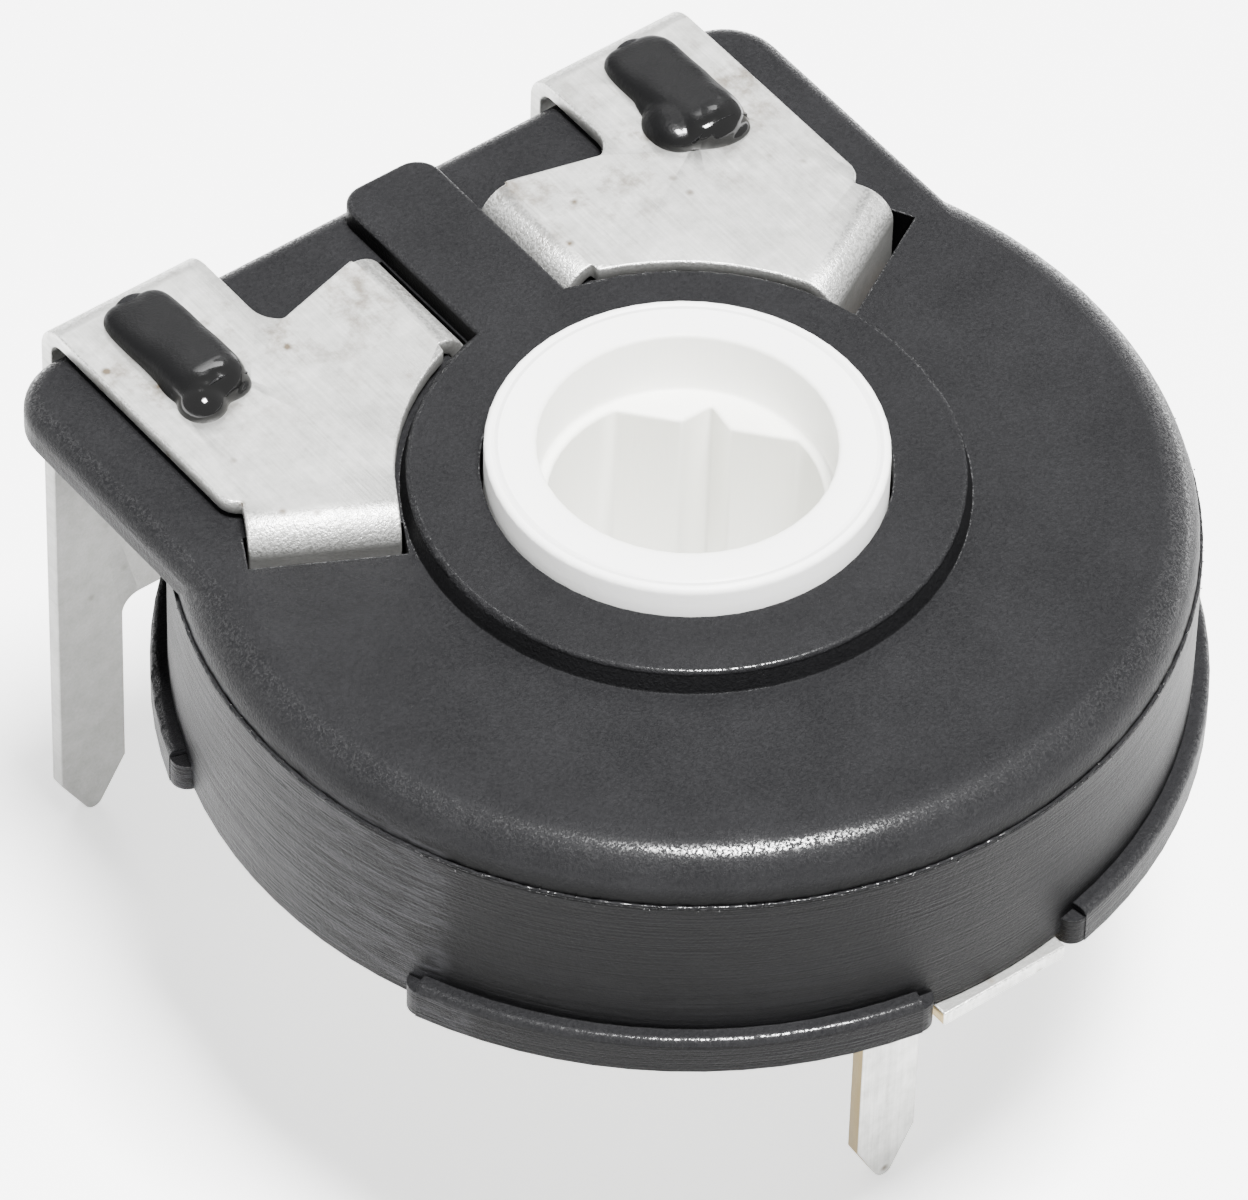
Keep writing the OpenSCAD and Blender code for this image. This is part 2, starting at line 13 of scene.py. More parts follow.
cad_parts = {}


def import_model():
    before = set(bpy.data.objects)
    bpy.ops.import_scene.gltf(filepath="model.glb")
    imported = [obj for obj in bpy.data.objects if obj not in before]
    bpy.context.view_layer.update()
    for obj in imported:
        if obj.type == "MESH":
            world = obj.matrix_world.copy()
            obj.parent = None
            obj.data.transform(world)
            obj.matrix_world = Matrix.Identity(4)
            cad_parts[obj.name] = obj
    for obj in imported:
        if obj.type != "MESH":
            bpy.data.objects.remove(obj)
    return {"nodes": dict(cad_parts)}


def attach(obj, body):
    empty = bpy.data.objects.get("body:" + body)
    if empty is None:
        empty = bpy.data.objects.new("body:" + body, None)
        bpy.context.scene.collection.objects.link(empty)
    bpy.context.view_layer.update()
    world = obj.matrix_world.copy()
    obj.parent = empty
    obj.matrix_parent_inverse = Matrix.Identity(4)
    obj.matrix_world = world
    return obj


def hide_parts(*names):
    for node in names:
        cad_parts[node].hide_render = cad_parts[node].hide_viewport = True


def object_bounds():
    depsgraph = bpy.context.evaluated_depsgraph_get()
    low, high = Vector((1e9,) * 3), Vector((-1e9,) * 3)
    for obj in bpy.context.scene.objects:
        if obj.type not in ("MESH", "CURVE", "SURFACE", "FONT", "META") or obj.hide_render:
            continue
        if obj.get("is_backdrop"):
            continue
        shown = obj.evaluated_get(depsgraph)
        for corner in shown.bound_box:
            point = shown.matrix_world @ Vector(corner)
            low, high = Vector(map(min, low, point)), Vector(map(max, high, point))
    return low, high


MM = 0.001
BODY = "body"
ROTOR_SET = "rotor_set"
PARTING_Z = 5.13 * MM
BEVEL_RAYS = 4
NOISE_MIDDLE = 0.5
WHITE = (1.0, 1.0, 1.0, 1.0)

# Sockets of a Mix node for colours, by number
MIX_SHARE = 0
MIX_FIRST = 6
MIX_SECOND = 7
MIX_RESULT = 2

log = logging.getLogger("trimmer")
Operand = Union["Wire", float, int]
Key = Union[int, str]
Settings = Optional[dict[str, Any]]
Values = Optional[dict[Key, Any]]
Span = tuple[float, float]
Triple = tuple[float, float, float]
Colour = tuple[float, float, float, float]
Nodes = dict[str, bpy.types.Object]
Inputs = dict[str, tuple[str, Any]]


class Side(Enum):
    """Side of the rib on which an end terminal and its stake stand."""

    LEFT = -1
    RIGHT = 1


class Streak(Enum):
    """Direction of a sheet's rolling marks, as their size along X, Y and Z."""

    ALONG_Y = (0.05 * MM, 1.8 * MM, 0.05 * MM)
    ALONG_Z = (0.05 * MM, 0.05 * MM, 1.8 * MM)


@dataclass(frozen=True)
class Noise:
    """A noise pattern, with the span of its values that counts and the depth of its relief."""

    feature: Union[float, Triple]
    detail: float = 2.0
    rough: float = 0.5
    span: Span = (0.0, 1.0)
    depth: float = 0.0


class Wire:
    """A shader or geometry socket that adds Math nodes when it is used in an expression."""

    def __init__(self, graph: "Graph", socket: bpy.types.NodeSocket) -> None:
        """Wrap a socket.

        Args:
            graph: The graph that new Math nodes are added to.
            socket: The output socket that carries the value.
        """
        self.graph = graph
        self.socket = socket

    def _math(self, operation: str, *operands: Operand) -> "Wire":
        """Add one Math node.

        Args:
            operation: The Math node's operation.
            *operands: Its inputs in order.

        Returns:
            The node's result.
        """
        inputs = dict(enumerate(operands))
        return self.graph.add("ShaderNodeMath", {"operation": operation}, inputs)

    def __add__(self, other: Operand) -> "Wire":
        """Sum of two values."""
        return self._math("ADD", self, other)

    __radd__ = __add__

    def __sub__(self, other: Operand) -> "Wire":
        """Difference of two values."""
        return self._math("SUBTRACT", self, other)

    def __rsub__(self, other: Operand) -> "Wire":
        """Difference of a number and this value."""
        return self._math("SUBTRACT", other, self)

    def __mul__(self, other: Operand) -> "Wire":
        """Product of two values."""
        return self._math("MULTIPLY", self, other)

    __rmul__ = __mul__

    def __pow__(self, other: Operand) -> "Wire":
        """This value raised to a power."""
        return self._math("POWER", self, other)

    def absolute(self) -> "Wire":
        """Absolute value."""
        return self._math("ABSOLUTE", self)

    def ramp(self, low: float, high: float) -> "Wire":
        """Share from 0 at low to 1 at high, held at both ends.

        Args:
            low: Value that gives 0.
            high: Value that gives 1.

        Returns:
            The share.
        """
        values = {"Value": self, "From Min": low, "From Max": high}
        return self.graph.add("ShaderNodeMapRange", {"clamp": True}, values)


class Graph:
    """Nodes of one material or one geometry tree."""

    def __init__(self, tree: bpy.types.NodeTree) -> None:
        """Start from an empty tree.

        Args:
            tree: The node tree to fill.
        """
        self.tree = tree
        self.tree.nodes.clear()

    def node(self, kind: str, settings: Settings = None, values: Values = None) -> bpy.types.Node:
        """Add one node, with its settings made first and its sockets filled after.

        Args:
            kind: The node's type name.
            settings: Properties of the node, such as a Math node's operation.
            values: Values or wires of its input sockets, by name or number.

        Returns:
            The new node.
        """
        made = self.tree.nodes.new(kind)
        for name, value in (settings or {}).items():
            setattr(made, name, value)
        for name, value in (values or {}).items():
            socket = made.inputs[name]
            if isinstance(value, Wire):
                self.tree.links.new(value.socket, socket)
            else:
                socket.default_value = value
        return made

    def add(self, kind: str, settings: Settings = None, values: Values = None, output: Key = 0) -> Wire:
        """Add one node and give one of its outputs.

        Args:
            kind: The node's type name.
            settings: Properties of the node.
            values: Values or wires of its input sockets.
            output: Name or number of the output wanted.

        Returns:
            The output as a wire.
        """
        return Wire(self, self.node(kind, settings, values).outputs[output])

    def blend(self, share: Wire, first: Union[Wire, Colour], second: Union[Wire, Colour]) -> Wire:
        """Mix two colours.

        Args:
            share: 0 gives the first colour, 1 the second.
            first: First colour, as numbers or a wire.
            second: Second colour, as numbers or a wire.

        Returns:
            The mixed colour.
        """
        values = {MIX_SHARE: share, MIX_FIRST: first, MIX_SECOND: second}
        return self.add("ShaderNodeMix", {"data_type": "RGBA"}, values, MIX_RESULT)

    def split(self, vector: Wire) -> list[Wire]:
        """X, Y and Z parts of a vector."""
        parts = self.node("ShaderNodeSeparateXYZ", None, {"Vector": vector})
        return [Wire(self, socket) for socket in parts.outputs]


class Surface(Graph):
    """A material's graph with the patterns that the finishes share."""

    def __init__(self, name: str) -> None:
        """Make a material with one main shader.

        Args:
            name: Name of the material.
        """
        self.material = bpy.data.materials.new(name)
        self.material.use_nodes = True
        super().__init__(self.material.node_tree)
        self.shader = self.node("ShaderNodeBsdfPrincipled")
        self.node("ShaderNodeOutputMaterial", None, {"Surface": Wire(self, self.shader.outputs[0])})
        self.place = self.add("ShaderNodeTexCoord", None, None, "Object")
        self.x, self.y, self.z = self.split(self.place)
        facing = self.add("ShaderNodeNewGeometry", None, None, "Normal")
        self.face_x, _, self.face_z = self.split(facing)
        self.normal: Optional[Wire] = None

    def soften(self, edge: float) -> Wire:
        """Soften sharp edges in the shading.

        Args:
            edge: Radius in metres of the softened edges.

        Returns:
            How far the softened surface faces up, from -1 to 1.
        """
        self.normal = self.add("ShaderNodeBevel", {"samples": BEVEL_RAYS}, {"Radius": edge})
        return self.split(self.normal)[2]

    def stretched(self, feature: Union[float, Triple]) -> Wire:
        """Object coordinates divided by the size of a feature.

        Args:
            feature: Size of the feature in metres, for all axes or for X, Y and Z.

        Returns:
            The scaled coordinates.
        """
        sizes = feature if isinstance(feature, tuple) else (feature, feature, feature)
        scale = tuple(1.0 / size for size in sizes)
        return self.add("ShaderNodeMapping", None, {"Vector": self.place, "Scale": scale})

    def cloud(self, pattern: Noise) -> Wire:
        """Soft noise.

        Args:
            pattern: Size of its features and its finer layers.

        Returns:
            The noise, from 0 to 1.
        """
        values = {
            "Vector": self.stretched(pattern.feature),
            "Scale": 1.0,
            "Detail": pattern.detail,
            "Roughness": pattern.rough,
        }
        return self.add("ShaderNodeTexNoise", None, values)

    def mask(self, pattern: Noise) -> Wire:
        """Noise as a share of its span, from 0 to 1."""
        return self.cloud(pattern).ramp(*pattern.span)

    def grains(self, gap: float) -> Wire:
        """Distance to the nearest of many scattered points.

        Args:
            gap: Spacing of the points in metres.

        Returns:
            The distance, from 0 at a point to about 1.
        """
        values = {"Vector": self.stretched(gap), "Scale": 1.0}
        return self.add("ShaderNodeTexVoronoi", None, values)

    def relief(self, *layers: tuple[Wire, float]) -> None:
        """Give the shader a normal from layers of relief.

        Args:
            *layers: Pairs of a height from 0 to 1 and its depth in metres.
        """
        for height, depth in layers:
            values = {"Height": height, "Distance": depth, "Strength": 1.0}
            if self.normal is not None:
                values["Normal"] = self.normal
            self.normal = self.add("ShaderNodeBump", None, values)
        self.tree.links.new(self.normal.socket, self.shader.inputs["Normal"])

    def finish(self, **values: Any) -> bpy.types.Material:
        """Fill the shader's sockets.

        Args:
            **values: Values or wires, by socket name with _ for a space.

        Returns:
            The finished material.
        """
        for name, value in values.items():
            socket = self.shader.inputs[name.replace("_", " ")]
            if isinstance(value, Wire):
                self.tree.links.new(value.socket, socket)
            else:
                socket.default_value = value
        return self.material


@dataclass(frozen=True)
class MouldedBlack:
    """Black moulded plastic with a fine grain, scraped lines round the wall, painted shade that darkens
    the upright faces, and painted light in streaks on the flange's sides.
    """

    colour: Colour = (0.0064, 0.0064, 0.0069, 1.0)
    worn: Colour = (0.0125, 0.0125, 0.0133, 1.0)
    # Colour of the upright faces: painted shade, darker than the top
    wall: Colour = (0.0010, 0.0010, 0.0011, 1.0)
    scratch: Colour = (0.0048, 0.0048, 0.0053, 1.0)
    # Lighter colour beside the flange: painted light where the flange's sides face the lamp
    flange_painted_light: Colour = (0.0150, 0.0150, 0.0165, 1.0)
    patches: Noise = Noise(1.1 * MM, 3.0, span=(0.35, 0.75))
    grain: Noise = Noise(0.055 * MM, 3.0, 0.7, (0.35, 0.7), 0.013 * MM)
    grit: Noise = Noise(0.04 * MM, 2.0, 0.75, (0.47, 0.62), 0.006 * MM)
    scrape: Noise = Noise((2.6 * MM, 2.6 * MM, 0.035 * MM), 3.0, 0.65, (0.45, 0.75), 0.014 * MM)
    # Streaks in which that painted light lies
    flange_light_streaks: Noise = Noise((0.3 * MM, 0.9 * MM, 0.08 * MM), 4.0, 0.7, (0.42, 0.62))
    upright_span: Span = (0.35, 0.1)
    slope_top: Span = (0.99, 0.94)
    slope_foot: Span = (0.50, 0.80)
    parting_fade: float = 0.04 * MM
    flange_x: float = 6.55 * MM
    flange_fade: float = 0.1 * MM
    edge: float = 0.045 * MM
    patch_share: float = 0.4
    grain_share: float = 0.7
    wall_patch_share: float = 0.15
    rough: float = 0.34
    grain_rough: float = 0.12
    mark_rough: float = 0.12
    grit_polish: float = 0.1
    specular: float = 0.05
    coat_rough: float = 0.17
    coat_index: float = 1.6

    def build(self) -> bpy.types.Material:
        """Make the material.

        Returns:
            The material.
        """
        surface = Surface("moulded_black")
        upward = surface.soften(self.edge)
        patches = surface.mask(self.patches)
        grain = surface.cloud(self.grain)
        upright = surface.face_z.absolute().ramp(*self.upright_span)
        slope = upward.ramp(*self.slope_top) * upward.ramp(*self.slope_foot)
        grit = surface.mask(self.grit)
        below = surface.z.ramp(PARTING_Z, PARTING_Z - self.parting_fade)
        beside = surface.x.absolute().ramp(self.flange_x - self.flange_fade, self.flange_x)
        lines = surface.cloud(self.scrape)
        # Painted light in streaks on the upright faces beside the flange
        flange_painted_light = surface.mask(self.flange_light_streaks) * beside
        scraped = upright * below
        marks = scraped * lines.ramp(*self.scrape.span)
        wear = patches * self.patch_share + grain.ramp(*self.grain.span) * self.grain_share
        colour = surface.blend(wear, self.colour, self.worn)
        wall = surface.blend(marks + patches * self.wall_patch_share, self.wall, self.scratch)
        wall = surface.blend(flange_painted_light, wall, self.flange_painted_light)
        # Upright faces take the darker wall colour: painted shade
        colour = surface.blend(upright, colour, wall)
        rough = self.rough + grain * self.grain_rough - grit * slope * self.grit_polish
        rough = rough + marks * self.mark_rough
        surface.relief(
            (grain, self.grain.depth),
            (grit * (1.0 - upright), self.grit.depth),
            (lines * scraped, self.scrape.depth),
        )
        return surface.finish(
            Base_Color=colour,
            Roughness=rough,
            Specular_IOR_Level=self.specular,
            Coat_Weight=slope * grit,
            Coat_Roughness=self.coat_rough,
            Coat_IOR=self.coat_index,
        )


@dataclass(frozen=True)
class MeltedBlack:
    """Plastic of the stakes: satin at the rear, glossy where it was melted."""

    colour: Colour = (0.0008, 0.0008, 0.0008, 1.0)
    dull: Colour = (0.0024, 0.0024, 0.0026, 1.0)
    gloss_y: float = 5.15 * MM
    satin_y: float = 5.5 * MM
    wander: Noise = Noise(0.9 * MM)
    wander_reach: float = 0.4 * MM
    grain: Noise = Noise(0.06 * MM, 3.0, 0.7, depth=0.008 * MM)
    ripples: Noise = Noise(0.28 * MM, 1.0, depth=0.03 * MM)
    rough: float = 0.11
    satin_rough: float = 0.27
    grain_rough: float = 0.10
    specular: float = 0.12
    coat: float = 0.9
    coat_rough: float = 0.07

    def build(self) -> bpy.types.Material:
        """Make the material.

        Returns:
            The material.
        """
        surface = Surface("melted_black")
        wander = surface.cloud(self.wander) * self.wander_reach
        satin = (surface.y + wander).ramp(self.gloss_y, self.satin_y)
        grain = surface.cloud(self.grain)
        ripples = surface.cloud(self.ripples)
        rough = self.rough + satin * self.satin_rough + grain * satin * self.grain_rough
        colour = surface.blend(satin, self.colour, self.dull)
        surface.relief((grain * satin, self.grain.depth), (ripples * (1.0 - satin), self.ripples.depth))
        return surface.finish(
            Base_Color=colour,
            Roughness=rough,
            Specular_IOR_Level=self.specular,
            Coat_Weight=(1.0 - satin) * self.coat,
            Coat_Roughness=self.coat_rough,
        )


@dataclass(frozen=True)
class RotorWhite:
    """White moulded plastic of the rotor, a little warmer inside the hole."""

    colour: Colour = (0.90, 0.90, 0.89, 1.0)
    inside: Colour = (0.86, 0.86, 0.80, 1.0)
    hole_r: float = 2.2 * MM
    hole_fade: float = 0.15 * MM
    lip_r: float = 2.68 * MM
    lip_fade: float = 0.05 * MM
    lip_depth: float = 0.03 * MM
    top_span: Span = (0.5, 0.9)
    edge: float = 0.10 * MM
    clouds: Noise = Noise(0.9 * MM, 3.0)
    grain: Noise = Noise(0.07 * MM, depth=0.0025 * MM)
    draw: Noise = Noise((0.12 * MM, 0.12 * MM, 1.6 * MM), depth=0.008 * MM)
    inside_share: float = 0.8
    cloud_share: float = 0.12
    rough: float = 0.34
    cloud_rough: float = 0.10
    grain_rough: float = 0.05
    coat: float = 0.08

    def build(self) -> bpy.types.Material:
        """Make the material.

        Returns:
            The material.
        """
        surface = Surface("rotor_white")
        distance = (surface.x * surface.x + surface.y * surface.y) ** 0.5
        inner = distance.ramp(self.hole_r, self.hole_r - self.hole_fade)
        clouds = surface.cloud(self.clouds)
        grain = surface.cloud(self.grain)
        draw = surface.cloud(self.draw)
        warmth = inner * self.inside_share + clouds * self.cloud_share
        colour = surface.blend(warmth, self.colour, self.inside)
        rough = self.rough + clouds * self.cloud_rough + grain * self.grain_rough
        groove = (distance - self.lip_r).absolute().ramp(0.0, self.lip_fade)
        top = surface.soften(self.edge).ramp(*self.top_span)
        surface.relief(
            (grain, self.grain.depth),
            (draw * inner, self.draw.depth),
            (groove * top, self.lip_depth),
        )
        return surface.finish(Base_Color=colour, Roughness=rough, Coat_Weight=self.coat)


def rolled_marks(streak: Streak) -> Noise:
    """Rolling marks of a tinned sheet, long in one direction."""
    return Noise(streak.value, 3.0, 0.6, (0.3, 0.75), 0.0035 * MM)


@dataclass(frozen=True)
class TinnedSheet:
    """Satin tin over brass sheet, with faint rolling marks, stains and a brassy cut edge, a painted
    highlight on the bends, and painted shade in the creases and down the legs.
    """

    name: str = "tinned_sheet"
    brassy_sides: bool = False
    # Share of painted shade down the legs below the plate
    leg_painted_shade: float = 0.0
    tin: Colour = (0.56, 0.56, 0.545, 1.0)
    shade: Colour = (0.33, 0.33, 0.315, 1.0)
    # Dark colour of the creases and the legs: painted shade
    painted_shade: Colour = (0.16, 0.16, 0.155, 1.0)
    # Lighter colour on the sloped bends: painted highlight
    painted_highlight: Colour = (0.82, 0.82, 0.80, 1.0)
    stain: Colour = (0.13, 0.105, 0.075, 1.0)
    brass: Colour = (0.25, 0.19, 0.09, 1.0)
    rolled: Noise = rolled_marks(Streak.ALONG_Y)
    waves: Noise = Noise(1.3 * MM, 1.0, depth=0.05 * MM)
    mottle: Noise = Noise(0.32 * MM, 4.0, 0.65, (0.35, 0.7))
    fine: Noise = Noise(0.035 * MM, 2.0, 0.7, depth=0.0025 * MM)
    grit: Noise = Noise(0.05 * MM, 2.0, 0.75, (0.40, 0.60), 0.004 * MM)
    soot: Noise = Noise(0.6 * MM, 5.0, 0.7, (0.50, 0.68))
    speckled: Noise = Noise(1.2 * MM, span=(0.45, 0.55))
    speck_gap: float = 0.55 * MM
    speck_span: Span = (0.16, 0.04)
    stain_y: float = 5.6 * MM
    stain_reach: Span = (2.2 * MM, 0.3 * MM)
    bend_top: Span = (0.985, 0.90)
    bend_foot: Span = (0.0, 0.25)
    crease_top: Span = (0.988, 0.975)
    crease_foot: Span = (0.90, 0.94)
    crease_y: Span = (6.7 * MM, 6.4 * MM)
    leg_z: Span = (5.6 * MM, 5.0 * MM)
    side_span: Span = (0.8, 0.95)
    rolled_share: float = 0.5
    mottle_share: float = 0.6
    speck_share: float = 0.9
    soot_share: float = 0.75
    painted_highlight_share: float = 0.8
    crease_painted_shade: float = 0.7
    metal: float = 0.86
    rough: float = 0.34
    rolled_rough: float = 0.10
    mottle_rough: float = 0.12
    speck_rough: float = 0.2

    def build(self) -> bpy.types.Material:
        """Make the material.

        Returns:
            The material.
        """
        surface = Surface(self.name)
        lines = surface.cloud(self.rolled)
        waves = surface.cloud(self.waves)
        mottle = surface.cloud(self.mottle)
        fine = surface.cloud(self.fine)
        near = (surface.y - self.stain_y).absolute().ramp(*self.stain_reach)
        specks = surface.grains(self.speck_gap).ramp(*self.speck_span) * surface.mask(self.speckled)
        soot = surface.mask(self.soot) * near
        tone = lines.ramp(*self.rolled.span) * self.rolled_share
        tone = tone + mottle.ramp(*self.mottle.span) * self.mottle_share
        colour = surface.blend(tone, self.tin, self.shade)
        dirt = specks * self.speck_share + soot * self.soot_share
        colour = surface.blend(dirt, colour, self.stain)
        bend = surface.face_z.ramp(*self.bend_top) * surface.face_z.ramp(*self.bend_foot)
        grit = surface.mask(self.grit)
        # Gritty painted highlight on the bends that slope towards the lamp
        colour = surface.blend(bend * grit * self.painted_highlight_share, colour, self.painted_highlight)
        # Gritty painted shade along the creases
        crease = surface.face_z.ramp(*self.crease_top) * surface.face_z.ramp(*self.crease_foot)
        crease = crease * surface.y.ramp(*self.crease_y)
        colour = surface.blend(crease * grit * self.crease_painted_shade, colour, self.painted_shade)
        # Painted shade down the legs, darker towards the bottom
        colour = surface.blend(surface.z.ramp(*self.leg_z) * self.leg_painted_shade, colour, self.painted_shade)
        if self.brassy_sides:
            side = surface.face_x.absolute().ramp(*self.side_span)
            colour = surface.blend(side, colour, self.brass)
        rough = self.rough + lines * self.rolled_rough + mottle * self.mottle_rough
        rough = rough + specks * self.speck_rough
        surface.relief(
            (waves, self.waves.depth),
            (lines, self.rolled.depth),
            (fine, self.fine.depth),
            (grit * bend, self.grit.depth),
        )
        return surface.finish(Base_Color=colour, Roughness=rough, Metallic=self.metal)


@dataclass(frozen=True)
class SpringBronze:
    """Bare spring sheet of the wiper."""

    colour: Colour = (0.62, 0.43, 0.20, 1.0)
    dull: Colour = (0.42, 0.29, 0.15, 1.0)
    stains: Noise = Noise(0.5 * MM, 4.0, span=(0.4, 0.75))
    rolled: Noise = Noise((0.04 * MM, 0.9 * MM, 0.04 * MM), 3.0, depth=0.003 * MM)
    rough: float = 0.28
    rolled_rough: float = 0.15
    metal: float = 0.95

    def build(self) -> bpy.types.Material:
        """Make the material.

        Returns:
            The material.
        """
        surface = Surface("spring_sheet")
        stains = surface.mask(self.stains)
        lines = surface.cloud(self.rolled)
        colour = surface.blend(stains, self.colour, self.dull)
        surface.relief((lines, self.rolled.depth))
        rough = self.rough + lines * self.rolled_rough
        return surface.finish(Base_Color=colour, Roughness=rough, Metallic=self.metal)


@dataclass(frozen=True)
class ElementBoard:
    """Brown laminate with a carbon track on its underside."""

    board: Colour = (0.030, 0.014, 0.006, 1.0)
    fibre: Colour = (0.055, 0.028, 0.012, 1.0)
    carbon: Colour = (0.012, 0.012, 0.012, 1.0)
    track_z: float = 4.185 * MM
    track_fade: float = 0.004 * MM
    fibres: Noise = Noise((0.5 * MM, 0.06 * MM, 0.06 * MM), 3.0, depth=0.006 * MM)
    grit: Noise = Noise(0.03 * MM, depth=0.004 * MM)
    rough: float = 0.45
    grit_rough: float = 0.2

    def build(self) -> bpy.types.Material:
        """Make the material.

        Returns:
            The material.
        """
        surface = Surface("laminate_board")
        fibres = surface.cloud(self.fibres)
        carbon = surface.z.ramp(self.track_z + self.track_fade, self.track_z - self.track_fade)
        grit = surface.cloud(self.grit)
        colour = surface.blend(fibres, self.board, self.fibre)
        colour = surface.blend(carbon, colour, self.carbon)
        surface.relief((fibres, self.fibres.depth), (grit, self.grit.depth))
        return surface.finish(Base_Color=colour, Roughness=self.rough + grit * self.grit_rough)


@dataclass(frozen=True)
class StudioPaper:
    """Plain white paper under the part."""

    colour: Colour = (0.93, 0.93, 0.93, 1.0)
    glow: float = 1.2
    fibres: Noise = Noise(0.4 * MM, depth=0.002 * MM)
    rough: float = 0.75
    fibre_rough: float = 0.1

    def build(self) -> bpy.types.Material:
        """Make the material.

        Returns:
            The material.
        """
        surface = Surface("studio_paper")
        fibres = surface.cloud(self.fibres)
        surface.relief((fibres, self.fibres.depth))
        return surface.finish(
            Base_Color=self.colour,
            Roughness=self.rough + fibres * self.fibre_rough,
            Emission_Color=self.colour,
            Emission_Strength=self.glow,
        )


class PathTree(Graph):
    """A geometry tree whose named inputs are set by their identifiers."""

    def __init__(self, name: str, inputs: Inputs) -> None:
        """Make the tree and its inputs.

        Args:
            name: Name of the tree.
            inputs: Socket type and value of each input, by name.
        """
        super().__init__(bpy.data.node_groups.new(name, "GeometryNodeTree"))
        face = self.tree.interface
        face.new_socket("Geometry", in_out="OUTPUT", socket_type="NodeSocketGeometry")
        self.values = {}
        for title, (kind, value) in inputs.items():
            made = face.new_socket(title, in_out="INPUT", socket_type=kind)
            self.values[made.identifier] = value
        self.group = self.node("NodeGroupInput")

    def given(self, title: str) -> Wire:
        """One of the tree's inputs as a wire."""
        return Wire(self, self.group.outputs[title])

    def close(self, geometry: Wire) -> None:
        """End the tree in real geometry with its material.

        Args:
            geometry: What the tree has made.
        """
        real = self.add("GeometryNodeRealizeInstances", None, {"Geometry": geometry})
        values = {"Geometry": real, "Material": self.given("Finish")}
        self.node("NodeGroupOutput", None, {0: self.add("GeometryNodeSetMaterial", None, values)})

    def bake(self, name: str) -> bpy.types.Object:
        """Run the tree and keep its result as a plain mesh.

        Args:
            name: Name of the new object.

        Returns:
            The object, without a modifier.
        """
        made = bpy.data.objects.new(name, bpy.data.meshes.new(name + "_seed"))
        bpy.context.scene.collection.objects.link(made)
        modifier = made.modifiers.new(name, "NODES")
        modifier.node_group = self.tree
        for identifier, value in self.values.items():
            modifier[identifier] = value
        return plain_mesh(made)


def plain_mesh(made: bpy.types.Object) -> bpy.types.Object:
    """Replace an object's mesh by what its modifiers make, and drop the modifiers.

    Args:
        made: The object.

    Returns:
        The same object.
    """
    bpy.context.view_layer.update()
    graph = bpy.context.evaluated_depsgraph_get()
    mesh = bpy.data.meshes.new_from_object(made.evaluated_get(graph), depsgraph=graph)
    mesh.name = made.name + "_mesh"
    made.modifiers.clear()
    made.data = mesh
    for polygon in mesh.polygons:
        polygon.use_smooth = True
    return made


def seat(made: bpy.types.Object, body: str) -> None:
    """Let a piece ride on its body.

    Args:
        made: The piece.
        body: The body that it moves with.
    """
    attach(made, body)
    log.info("piece %s rides on %s", made.name, body)


